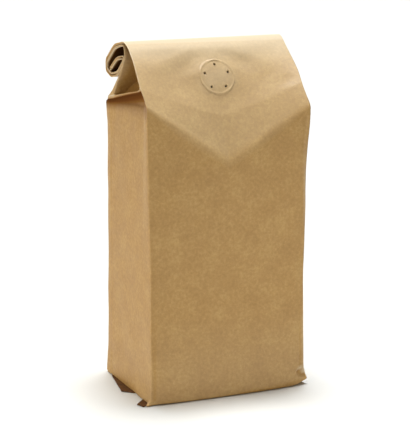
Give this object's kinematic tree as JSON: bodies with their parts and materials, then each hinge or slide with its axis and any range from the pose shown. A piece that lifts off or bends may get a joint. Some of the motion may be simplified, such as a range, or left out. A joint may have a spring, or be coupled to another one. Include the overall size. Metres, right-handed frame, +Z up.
{
  "type": "side gusset coffee bag",
  "caption": "Standing side gusset coffee bag of plain kraft paper, full, with its top rolled down behind, gable-folded gussets and a round valve imprint.",
  "frame": {"origin": "on the plane the bag stands on, under the middle of the bag's box", "axes": "+Z up from the ground to the rolled top; the front panel with the valve imprint faces -Y; +X to the right of someone looking at that panel"},
  "size_m": [0.122, 0.0865, 0.2277],
  "materials": {
    "kraft_paper": "uncoated brown kraft paper, matt, with a fine fibre mottle and soft handling creases"
  },
  "bodies": {
    "root": {"coffee_bag": "kraft_paper"}
  },
  "joints": []
}
